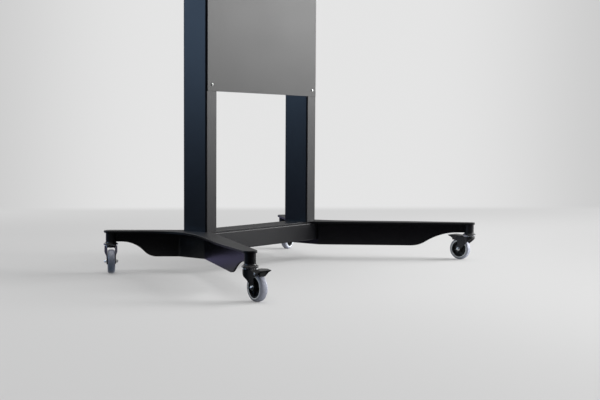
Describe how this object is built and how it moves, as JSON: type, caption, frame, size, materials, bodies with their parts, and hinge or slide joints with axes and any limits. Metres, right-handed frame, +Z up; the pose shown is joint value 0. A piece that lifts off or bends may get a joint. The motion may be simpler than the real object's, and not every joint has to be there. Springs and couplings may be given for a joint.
{
  "type": "presentation lectern",
  "caption": "Mobile presentation lectern: tilting desk on a pair of rectangular uprights with a front panel, on cranked legs with swivel castors and front wheel brakes.",
  "frame": {"origin": "on the floor in the middle of the footprint", "axes": "+Z up; +X along the cross beam, with the right_ nodes at +X; -Y is the audience side, with the front panel and the longer arms; +Y is the presenter side"},
  "size_m": [1.3275, 0.8674, 1.189],
  "materials": {
    "black_coat": "satin powder coat",
    "panel_grey": "satin powder coat",
    "desk_laminate": "matt laminate",
    "satin_aluminium": "satin anodised",
    "grey_rubber": "smooth",
    "block_rubber": "matt",
    "hub_plastic": "satin",
    "black_plastic": "fine grain",
    "fork_coat": "satin",
    "swivel_cup": "black with a bright rim",
    "bright_zinc": "zinc plated"
  },
  "bodies": {
    "frame": {"left_leg_web": "black_coat", "right_leg_web": "black_coat", "left_leg_plate": "black_coat", "right_leg_plate": "black_coat", "castor_sockets": "black_coat", "cross_beam": "black_coat", "foot_plate": "black_coat", "left_upright": "black_coat", "right_upright": "black_coat", "upper_rail": "black_coat", "upright_caps": "black_coat", "front_panel": "panel_grey", "panel_screws": "bright_zinc", "bracket_bolts": "bright_zinc", "left_head_bracket": "black_coat", "right_head_bracket": "black_coat", "tilt_bolts": "bright_zinc", "front_left_swivel_head": "swivel_cup", "front_left_king_pin": "bright_zinc", "front_left_swivel_balls": "bright_zinc", "front_right_swivel_head": "swivel_cup", "front_right_king_pin": "bright_zinc", "front_right_swivel_balls": "bright_zinc", "rear_left_swivel_head": "swivel_cup", "rear_left_king_pin": "bright_zinc", "rear_left_swivel_balls": "bright_zinc", "rear_right_swivel_head": "swivel_cup", "rear_right_king_pin": "bright_zinc", "rear_right_swivel_balls": "bright_zinc"},
    "desk": {"desk_board": "desk_laminate", "paper_stop": "satin_aluminium", "left_desk_ear": "black_coat", "right_desk_ear": "black_coat", "desk_screws": "bright_zinc", "stop_screws": "bright_zinc"},
    "left_knob": {"left_tilt_knob": "black_plastic"},
    "right_knob": {"right_tilt_knob": "black_plastic"},
    "front_left_yoke": {"front_left_fork": "fork_coat", "front_left_axle_bolt": "bright_zinc", "front_left_pedal_rivet": "bright_zinc"},
    "front_left_wheel": {"front_left_wheel_hub": "hub_plastic", "front_left_tyre": "grey_rubber"},
    "front_left_brake": {"front_left_brake_pedal": "black_plastic", "front_left_brake_block": "block_rubber"},
    "front_right_yoke": {"front_right_fork": "fork_coat", "front_right_axle_bolt": "bright_zinc", "front_right_pedal_rivet": "bright_zinc"},
    "front_right_wheel": {"front_right_wheel_hub": "hub_plastic", "front_right_tyre": "grey_rubber"},
    "front_right_brake": {"front_right_brake_pedal": "black_plastic", "front_right_brake_block": "block_rubber"},
    "rear_left_yoke": {"rear_left_fork": "fork_coat", "rear_left_axle_bolt": "bright_zinc"},
    "rear_left_wheel": {"rear_left_wheel_hub": "hub_plastic", "rear_left_tyre": "grey_rubber"},
    "rear_right_yoke": {"rear_right_fork": "fork_coat", "rear_right_axle_bolt": "bright_zinc"},
    "rear_right_wheel": {"rear_right_wheel_hub": "hub_plastic", "rear_right_tyre": "grey_rubber"}
  },
  "joints": [
    {"name": "front_left_swivel", "type": "hinge", "parent": "frame", "child": "front_left_yoke", "pos_m": [-0.63132, -0.35116, 0.103], "axis": [0, 0, 1], "continuous": true},
    {"name": "front_left_roll", "type": "hinge", "parent": "front_left_yoke", "child": "front_left_wheel", "pos_m": [-0.64214, -0.38654, 0.04], "axis": [0.9563, -0.2924, 0], "continuous": true},
    {"name": "front_left_brake_press", "type": "hinge", "parent": "front_left_yoke", "child": "front_left_brake", "pos_m": [-0.64652, -0.40089, 0.08], "axis": [0.9563, -0.2924, 0], "range_deg": [0, 9]},
    {"name": "front_right_swivel", "type": "hinge", "parent": "frame", "child": "front_right_yoke", "pos_m": [0.63132, -0.35116, 0.103], "axis": [0, 0, 1], "continuous": true},
    {"name": "front_right_roll", "type": "hinge", "parent": "front_right_yoke", "child": "front_right_wheel", "pos_m": [0.63067, -0.31416, 0.04], "axis": [-0.9998, -0.0175, 0], "continuous": true},
    {"name": "front_right_brake_press", "type": "hinge", "parent": "front_right_yoke", "child": "front_right_brake", "pos_m": [0.63041, -0.29917, 0.08], "axis": [-0.9998, -0.0175, 0], "range_deg": [0, 9]},
    {"name": "rear_left_swivel", "type": "hinge", "parent": "frame", "child": "rear_left_yoke", "pos_m": [-0.46389, 0.40358, 0.103], "axis": [0, 0, 1], "continuous": true},
    {"name": "rear_left_roll", "type": "hinge", "parent": "rear_left_yoke", "child": "rear_left_wheel", "pos_m": [-0.48792, 0.37545, 0.04], "axis": [0.7604, -0.6494, 0], "continuous": true},
    {"name": "rear_right_swivel", "type": "hinge", "parent": "frame", "child": "rear_right_yoke", "pos_m": [0.46389, 0.40358, 0.103], "axis": [0, 0, 1], "continuous": true},
    {"name": "rear_right_roll", "type": "hinge", "parent": "rear_right_yoke", "child": "rear_right_wheel", "pos_m": [0.50021, 0.41064, 0.04], "axis": [-0.1908, 0.9816, 0], "continuous": true},
    {"name": "desk_tilt", "type": "hinge", "parent": "frame", "child": "desk", "pos_m": [0, 0.173, 1.085], "axis": [1, 0, 0], "range_deg": [-13, 12]},
    {"name": "left_knob_turn", "type": "hinge", "parent": "frame", "child": "left_knob", "pos_m": [-0.285, 0.173, 1.085], "axis": [-1, 0, 0], "range_deg": [0, 360]},
    {"name": "right_knob_turn", "type": "hinge", "parent": "frame", "child": "right_knob", "pos_m": [0.285, 0.173, 1.085], "axis": [1, 0, 0], "range_deg": [0, 360]}
  ]
}
